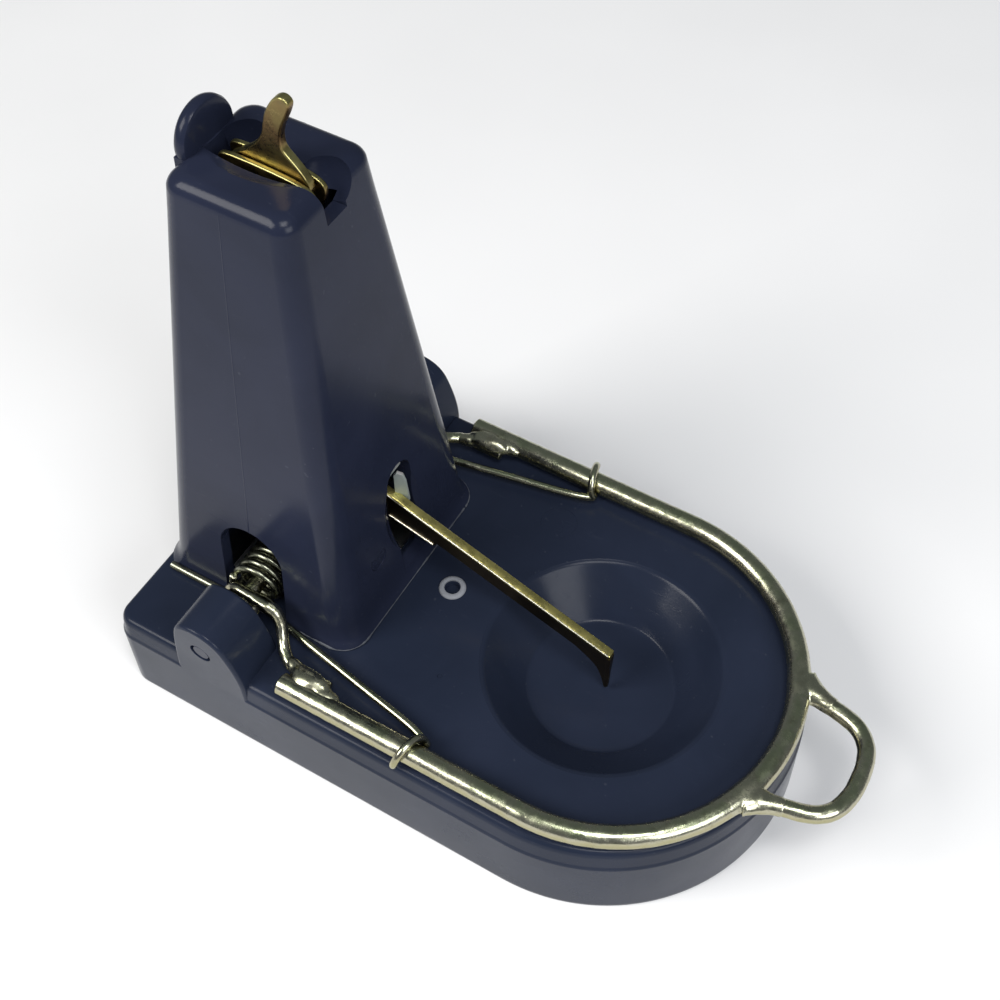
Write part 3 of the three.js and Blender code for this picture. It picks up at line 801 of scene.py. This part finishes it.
def coil_path(side):
    """The fixed end along the deck, the step in to the axle and the coil."""
    y_start = COIL_Y + COIL_PITCH * COIL_TURNS
    anchor = curve_through([
        (-65.6, -18.45, 17.75), (-60.0, -18.45, 17.75), (-56.0, -18.4, 17.75), (-54.9, -17.9, 17.75),
        (-54.55, -16.8, 17.75), (-54.55, y_start - 1.6, 17.8), (-54.9, y_start - 0.2, 18.2)], 6)
    coil = axle_arc(COIL_R, COIL_STOP - 360 * COIL_TURNS, COIL_STOP, y_start, COIL_Y, 200)
    return on_side([tuple(p) for p in anchor] + coil[3:], side)


def leg_path(side):
    """The spring's leg: off the coil, along beside the rod and hooked round it."""
    reach = ROD_R + SPRING_R + GAP
    start = axle_arc(COIL_R, 150, 270, -17.9, -17.9, 24)
    run = [(-46.5, -18.45, 18.5), (-38, -20.05, 18.45), (-28, -21.9, 18.4), (-18.5, -23.65, 18.35)]
    hook = []
    for degrees in (-14, 10, 35, 60, 85, 110, 135, 160, 185, 200):
        a = math.radians(degrees)
        x = -16.0 - (degrees - 60) / 90
        hook.append((x, -ROD_HALF + reach * math.cos(a), ROD_Z + reach * math.sin(a)))
    smooth = curve_through(start[-2:] + run + hook, 10)
    return on_side(start[:-2] + [tuple(p) for p in smooth], side)


def arm_path(side):
    """The pivot arm: an eye round the axle, a bend over the boss and down to lie beside the rod."""
    beside = ROD_HALF - ROD_R - ARM_R - GAP
    eye = axle_arc(BORE_R + ARM_R, 310, 92, -19.9, -19.9, 36)
    over = [(-48.6, -19.9, 24.42), (-46.6, -19.9, 24.42), (-45.0, -19.92, 24.15), (-43.8, -20.0, 23.4),
            (-42.9, -20.5, 22.0), (-42.1, -21.5, 20.6), (-40.9, -22.9, 19.6), (-38.9, -beside + 0.35, 19.15),
            (-36.2, -beside, 18.95), (-32.0, -beside, 18.9)]
    smooth = curve_through(eye[-2:] + over, 10)
    return on_side(eye[:-2] + [tuple(p) for p in smooth], side)


def handle_path():
    half = [(29.6, -9.35), (31.4, -9.0), (33.4, -8.62), (35.4, -8.15), (36.9, -7.55), (38.2, -6.55),
            (39.2, -5.2), (39.8, -3.5), (40.1, -1.8)]
    line = [(x, y, ROD_Z) for x, y in half + [(40.15, 0)]] + [(x, -y, ROD_Z) for x, y in half[::-1]]
    return [tuple(p) for p in even_steps(curve_through(line, 12), 0.4)]


def flattened_arm(side):
    """The arm wire, hammered flat over the boss and where it meets the rod."""
    path = even_steps(arm_path(side), 0.22)
    shares = []
    for x, _, z in path:
        over_boss = math.exp(-((x + 46.3) / 2.6) ** 2) * (1 if z > 22 else 0)
        at_rod = 1 / (1 + math.exp(-(x + 37.8) / 0.8))
        shares.append((1 + 0.16 * over_boss + 0.10 * at_rod, 1 - 0.22 * over_boss - 0.10 * at_rod))
    return tube(f"arm_{TAGS[side]}", path, ARM_SKIN_R, 20, flat=shares, lump=0.05, lump_scale=1.3,
                seed=3 + side)


def arm_weld(side):
    """Weld metal that runs from the arm's flattened end onto the rod."""
    blob = ellipsoid(f"arm_weld_{TAGS[side]}", (-34.6, side * 25.3, 19.55), (3.9, 1.7, 1.45),
                     side * 0.10, 0.12, 4 + side)
    join(blob, ellipsoid("tail", (-37.8, side * 24.4, 19.25), (2.6, 1.1, 1.1), side * 0.30, 0.10, 9 + side),
         ellipsoid("nose", (-31.6, side * 26.2, 19.3), (2.4, 1.25, 1.2), side * -0.08, 0.10, 14 + side),
         ellipsoid("bead", (-35.0, side * 26.2, 19.9), (2.2, 1.0, 0.8), 0.0, 0.14, 19 + side, 3))
    return melt(blob, 12)


def handle_weld(side):
    """A sleeve of weld metal on the rod, with a flare where the handle's wire leaves it."""
    path = [p for p in rod_path() if p[0] > 25 and 6.2 < side * p[1] < 14.0]
    last = len(path) - 1
    swell = [1.66 + 0.14 * math.sin(math.pi * i / last) for i in range(last + 1)]
    sleeve = tube(f"handle_weld_{TAGS[side]}", path, swell, 24)
    steps = np.linspace(0, 1, 26)
    run = [(27.6 + 5.0 * t, side * (9.95 - 1.15 * t), ROD_Z) for t in steps]
    shares = [(1.0 + 1.15 * (1 - t) ** 2.0, 1.0 + 0.12 * (1 - t)) for t in steps]
    join(sleeve, tube("flare", run, 1.36, 28, flat=shares, lump=0.07, lump_scale=0.9, seed=11 + side))
    return melt(sleeve, 10)


# ---------------------------------------------------------------- levers
def turn_about(pin, x, z, degrees):
    a = math.radians(degrees)
    dx, dz = x - pin[0], z - pin[1]
    return (pin[0] + dx * math.cos(a) - dz * math.sin(a), pin[1] + dx * math.sin(a) + dz * math.cos(a))


def catch_lever():
    """Two flanges and the finger between them, with the long leg down to the trigger's lug."""
    flange = closed_curve([
        (-53.3, 91.7), (-53.7, 90.0), (-53.0, 87.4), (-50.6, 84.0), (-47.0, 82.9), (-44.0, 83.6),
        (-41.9, 86.2), (-40.8, 88.0), (-40.3, 89.4), (-40.6, 90.6), (-42.2, 91.4), (-45, 91.8),
        (-50, 92.0)], 5)
    finger = closed_curve([
        (-52.6, 90.6), (-51.6, 91.9), (-50.0, 93.1), (-48.5, 94.5), (-47.3, 96.2), (-46.75, 98.0),
        (-46.25, 99.5), (-45.45, 101.0), (-44.6, 102.1), (-43.7, 102.6), (-42.95, 102.4), (-42.6, 101.7),
        (-43.1, 100.3), (-44.15, 98.2), (-44.6, 96.6), (-44.5, 95.1), (-43.5, 93.9), (-42.3, 92.6),
        (-41.4, 91.0), (-42.0, 89.8), (-47.5, 89.2)], 6)
    bridge = [(-52.6, 88.4), (-42.6, 88.4), (-41.6, 89.6), (-41.6, 90.4), (-52.6, 90.4)]
    # The leg is drawn where it stands when the catch is set, and turned back to rest.
    set_leg = [(-49.8, 85.0), (-42.9, 44.6), (-42.3, 41.5), (-41.5, 40.14), (-37.09, 40.14),
               (-37.09, 39.555), (-36.39, 39.555), (-36.39, 40.64), (-39.5, 40.79), (-40.1, 42.6),
               (-44.6, 85.0)]
    leg = [turn_about(CATCH_PIN, x, z, -CATCH_SWING) for x, z in set_leg]
    lever = plate("catch_lever_plate", finger, -0.65, 0.65, edge=0.28, steps=4)
    join(lever, plate("flange", flange, -1.5, -0.75, edge=0.2), plate("flange", flange, 0.75, 1.5, edge=0.2),
         plate("bridge", bridge, -1.2, 1.2, 0.1), plate("leg", leg, -0.6, 0.6, edge=0.12, steps=2))
    return cut(lever, drill("hole", CATCH_PIN, PIN_HOLE_R, (-3, 3)))


def trigger_top(x):
    return TRIGGER_TOP_Z - TRIGGER_FALL * (x - TRIGGER_X)


def shear(x, seed):
    """The small waves of a sheared edge."""
    return 0.05 * noise.noise(Vector((x * 2.1, seed, 0))) + 0.04 * noise.noise(Vector((x * 5.3, seed, 4)))


def trigger_lever():
    """A long stamped strip with a sheared top edge and a round hub on its pin."""
    xs = np.linspace(-37.2, 1.25, 160)
    lift = [0.30 * math.exp(-((x + 34.4) / 1.6) ** 2) - 0.10 for x in xs]
    crown = [(x, trigger_top(x) + shear(x, 0) + up) for x, up in zip(xs, lift)]
    under = [(x, trigger_top(x) - 0.75 + up) for x, up in zip(xs[::-1], lift[::-1])]
    hub = [(TRIGGER_PIN[0] + 2.6 * math.cos(a), TRIGGER_PIN[1] + 2.6 * math.sin(a))
           for a in np.linspace(0, 2 * math.pi, 40, endpoint=False)]
    lever = plate("trigger_plate", crown + under, -0.58, 0.95, edge=0.24, steps=3)
    join(lever, plate("hub", hub, -0.92, 0.9, edge=0.12, steps=2))
    return cut(lever, drill("hole", TRIGGER_PIN, PIN_HOLE_R, (-3, 4)))


def trigger_web():
    """The web below the strip, ending in the foot that stands in the bait cup. Its near-black colour is
    painted shade under the strip.
    """
    outline = [(-36.4, trigger_top(-36.4) - 0.4), (-36.4, 29.7), (-28.5, 27.2),
               (-28.0, trigger_top(-28) - 3.7)]
    outline += [(x, trigger_top(x) - 3.7 + 0.02 * noise.noise(Vector((x, 3, 0))))
                for x in np.linspace(-24, -4.6, 12)]
    outline += open_curve([
        (-2.6, trigger_top(-2.6) - 4.3), (-0.9, 15.6), (0.0, 13.4), (0.42, 11.8), (0.62, 10.85),
        (0.98, 10.74), (1.28, 11.2), (1.36, 12.8), (1.42, 14.6), (1.32, 17.2)], 5)
    outline += [(1.2, trigger_top(1.2) - 0.4)]
    end = [(-0.58, 19.3), (0.86, 19.3), (0.70, 17.6), (0.30, 15.4), (-0.10, 13.2), (-0.30, 11.4),
           (-0.58, 11.2)]
    nose = plate("nose", end, -1.36, -0.66, edge=0.14)
    nose.data.transform(FACE_FRONT)
    return join(plate("trigger_web", outline, -0.56, 0.05, edge=0.14, steps=3), nose)


def painted_highlight_rims():
    """Thin pale tubes along the strip's near side and along the web's lower edge: a painted highlight on
    those corners.
    """
    upper = [(x, -0.50, trigger_top(x) - 0.22) for x in np.linspace(-36.8, 1.0, 120)]
    lower = [(x, -0.62, 29.9 - 0.31 * (x + 36.2)) for x in np.linspace(-36.2, -28.7, 40)]
    return [tube(name, path, 0.15, 12, lump=0.02, lump_scale=1.6)
            for name, path in (("trigger_rim", upper), ("lower_rim", lower))]


def sear_plate():
    """The upturned lug at the trigger's pivot that holds the catch's foot, and the tab beside it, both
    coloured pale grey as a painted reflection on the trigger's plating.
    """
    lug = [(-0.3, 1.6), (0.3, 1.6), (0.3, 7.3), (0.2, 7.4), (-0.2, 7.4), (-0.3, 7.3)]
    lug = [turn_about(TRIGGER_PIN, TRIGGER_PIN[0] + x, TRIGGER_PIN[1] + z, -28) for x, z in lug]
    upright = plate("sear_plate", lug, -0.9, 2.8, edge=0.1, steps=2)
    outline = [(-1.1, 33.4), (1.05, 33.2), (0.75, 37.6), (0.35, 39.1), (-0.5, 39.4), (-1.0, 38.6)]
    tab = plate("tab", outline, -0.28, 0.28, edge=0.1, steps=2)
    tab.data.transform(Matrix.Translation((-34.6, 1.15, 0)) @ Matrix.Rotation(math.radians(20), 4, "Z"))
    return join(upright, tab)


def pin_shape(name, pin, r, half):
    """A pin along Y with rounded ends."""
    profile = [(0, -half), (r * 0.7, -half), (r * 0.92, 0.12 - half), (r, 0.3 - half),
               (r, half - 0.3), (r * 0.92, half - 0.12), (r * 0.7, half), (0, half)]
    return turned_along(name, profile, "Y", (pin[0], 0, pin[1]), 40)


def axle_plug(side):
    """The round plug in a boss's outer face."""
    start, stop = sorted((side * (BOSS_OUT - 1.0), side * (BOSS_OUT - 0.12)))
    profile = [(0, start), (1.3, start), (1.45, start + 0.15), (1.45, stop - 0.15), (1.3, stop), (0, stop)]
    return turned_along(f"plug_{TAGS[side]}", profile, "Y", (AXLE_X, 0, AXLE_Z), 40)


def catch_spring_path():
    """Two turns round the catch's pin, between an end on the catch and an end on the tower."""
    x, z = CATCH_PIN
    r, per_turn, turns = 1.75, 48, 2
    coil = []
    for i in range(per_turn * turns + 1):
        a = 2 * math.pi * i / per_turn + math.pi / 2
        coil.append((x + r * math.cos(a), 1.95 + 1.2 * i / (per_turn * turns), z + r * math.sin(a)))
    return [(-43.6, 1.95, 85.6), (-44.9, 1.95, 86.9)] + coil + [(-49.4, 3.12, 86.9), (-51.4, 3.1, 84.6),
                                                               (-52.8, 3.1, 82.0)]


# ---------------------------------------------------------------- assembly
def plastics():
    """The plastic of the base, of the tower, of moulding flash coloured pale as a painted highlight, and of
    the pale ring, partly whitened and partly a painted highlight.
    """
    return (plastic_material("base_plastic", (0.0135, 0.0185, 0.0340), (0.0180, 0.0240, 0.0440)),
            plastic_material("tower_plastic", (0.0135, 0.0170, 0.0330), (0.0185, 0.0225, 0.0430),
                             (0.14, 0.26)),
            # Painted highlight: pale plastic for the flash along the tower's foot.
            plastic_material("flash_highlight_plastic", (0.030, 0.034, 0.046), (0.15, 0.16, 0.18), (0.35, 0.5)),
            # Painted highlight, with whitening: pale plastic for the nail ring.
            plastic_material("whitened_highlight_plastic", (0.17, 0.18, 0.20), (0.36, 0.37, 0.40), (0.30, 0.45)))


def bail_metals():
    """Zinc with the tints of a chromate dip, for the rod, the thinner wires and the weld metal. The low
    stops, dark and pink, are painted shade on faces that look down, and the high, pale stops are a painted
    highlight on faces that look up.
    """
    zinc = [(0.06, (0.34, 0.21, 0.25)), (0.24, (0.28, 0.28, 0.31)), (0.42, (0.35, 0.33, 0.17)),
            (0.60, (0.43, 0.40, 0.24)), (0.78, (0.50, 0.48, 0.37)), (0.94, (0.36, 0.40, 0.25))]
    weld = [(0.1, (0.26, 0.20, 0.19)), (0.4, (0.36, 0.34, 0.19)), (0.7, (0.50, 0.48, 0.36)),
            (0.95, (0.42, 0.43, 0.30))]
    return (plated_material("rod_zinc", zinc, (0.15, 0.36), 0.40, 1300),
            plated_material("wire_zinc", zinc, (0.14, 0.34), 0.25, 1900),
            plated_material("weld_zinc", weld, (0.16, 0.38), 0.45, 900, 0.5))


def coil_metal():
    """Dark spring steel."""
    stops = [(0.1, (0.08, 0.08, 0.055)), (0.5, (0.15, 0.15, 0.10)), (0.9, (0.24, 0.25, 0.19))]
    return plated_material("spring_steel", stops, (0.20, 0.38), 0.2, 2200, 0.4)


def lever_metals():
    """The trigger strip's gold plate, the painted highlight on its corners, its web painted near black as
    shade, its lug and tab painted pale grey as a reflection, and the catch.
    """
    strip = [(0.08, (0.15, 0.10, 0.02)), (0.35, (0.31, 0.24, 0.045)), (0.60, (0.46, 0.38, 0.075)),
             (0.85, (0.64, 0.56, 0.19))]
    catch = [(0.08, (0.10, 0.06, 0.03)), (0.40, (0.19, 0.12, 0.055)), (0.62, (0.26, 0.21, 0.08)),
             (0.88, (0.42, 0.39, 0.16))]
    # Painted shade: near-black stops for the web under the strip.
    web = [(0.1, (0.055, 0.035, 0.022)), (0.5, (0.085, 0.060, 0.028)), (0.9, (0.13, 0.11, 0.05))]
    # Painted highlight: pale stops for the tubes along the trigger's corners.
    highlight_rim = [(0.1, (0.62, 0.50, 0.26)), (0.5, (0.82, 0.76, 0.52)), (0.9, (0.92, 0.88, 0.72))]
    # Painted reflection: pale grey, half-metal stops for the lug and tab.
    lug = [(0.1, (0.34, 0.27, 0.31)), (0.5, (0.33, 0.38, 0.36)), (0.9, (0.42, 0.41, 0.40))]
    lug_reflection_grey = plated_material("lug_reflection_grey", lug, (0.45, 0.6), 0.3, 1500, 0.6)
    lug_reflection_grey.node_tree.nodes["Principled BSDF"].inputs["Metallic"].default_value = 0.35
    return (plated_material("gold_plate", strip, (0.20, 0.42), 1.0, 1150, 0.6),
            plated_material("highlight_gold", highlight_rim, (0.22, 0.40), 0.3, 1500, 0.5),
            plated_material("shade_dark_web", web, (0.26, 0.42), 0.3, 1500, 0.5),
            lug_reflection_grey,
            plated_material("catch_gold", catch, (0.22, 0.44), 0.4, 1500, 0.5))


def place_plastic(shape, material, replaces=()):
    return place(shape, "frame", material, replaces)


def place_frame_steel(shape, material, replaces):
    place(shape, "frame", material, replaces)


def place_wire(shape, body, material, replaces):
    place(shape, body, material, replaces, weighted=False)


def place_weld(shape, material, replaces):
    place(shape, "bail", material, replaces, sharp=80, weighted=False)


def place_lever(shape, body, material, replaces=(), weighted=True):
    place(shape, body, material, replaces, weighted=weighted)


add_camera()
add_stage()

base_plastic, tower_plastic, flash_highlight_plastic, whitened_highlight_plastic = plastics()
rod_zinc, wire_zinc, weld_zinc = bail_metals()
spring_steel = coil_metal()
gold_plate, highlight_gold, shade_dark_web, lug_reflection_grey, catch_gold = lever_metals()

place_plastic(base_shell(), base_plastic, ["base_shell"]).name = "base_moulding"
place_plastic(tower(), tower_plastic, ["tower"]).name = "tower_moulding"
place_plastic(tower_flash(), flash_highlight_plastic)
place_plastic(nail_ring(), whitened_highlight_plastic)
place_frame_steel(pin_shape("axle", AXLE, AXLE_R, 28.4), wire_zinc, ["pivot_axle"])
place_frame_steel(pin_shape("catch_rivet", CATCH_PIN, PIN_R, PIN_HALF), wire_zinc, ["catch_pin"])
place_frame_steel(pin_shape("trigger_rivet", TRIGGER_PIN, PIN_R, PIN_HALF), wire_zinc, ["trigger_pin"])
place_frame_steel(tube("catch_coil", catch_spring_path(), 0.28, 10), spring_steel, ["catch_spring"])
place_wire(tube("bail_wire", rod_path(), ROD_R, 32, lump=0.035, lump_scale=0.8), "bail",
           rod_zinc, ["bail_rod"])
place_wire(tube("handle_wire", handle_path(), HANDLE_R, 28, lump=0.05, lump_scale=0.9, seed=7), "bail",
           rod_zinc, ["handle_loop"])
for side, tag in TAGS.items():
    place_plastic(axle_plug(side), tower_plastic, [f"axle_plug_{tag}"])
    coil = tube(f"coil_{tag}", coil_path(side), SPRING_R, 16)
    place_wire(coil, "frame", spring_steel, [f"spring_coil_{tag}"])
    leg = tube(f"leg_{tag}", even_steps(leg_path(side), 0.3), SPRING_R, 16, lump=0.012, lump_scale=1.5)
    place_wire(leg, "bail", wire_zinc, [f"spring_leg_{tag}"])
    place_wire(flattened_arm(side), "bail", wire_zinc, [f"pivot_arm_{tag}"])
    place_weld(arm_weld(side), weld_zinc, [f"weld_arm_{tag}"])
    place_weld(handle_weld(side), weld_zinc, [f"weld_handle_{tag}"])
place_lever(catch_lever(), "catch", catch_gold, ["catch_lever"])
place_lever(trigger_lever(), "trigger", gold_plate, ["trigger_lever"])
place_lever(trigger_web(), "trigger", shade_dark_web)
# Pale tubes along the trigger's corners, a painted highlight.
for highlight_rim in painted_highlight_rims():
    place_lever(highlight_rim, "trigger", highlight_gold, weighted=False)
place_lever(sear_plate(), "trigger", lug_reflection_grey)

bpy.context.scene.view_settings.view_transform = "Standard"
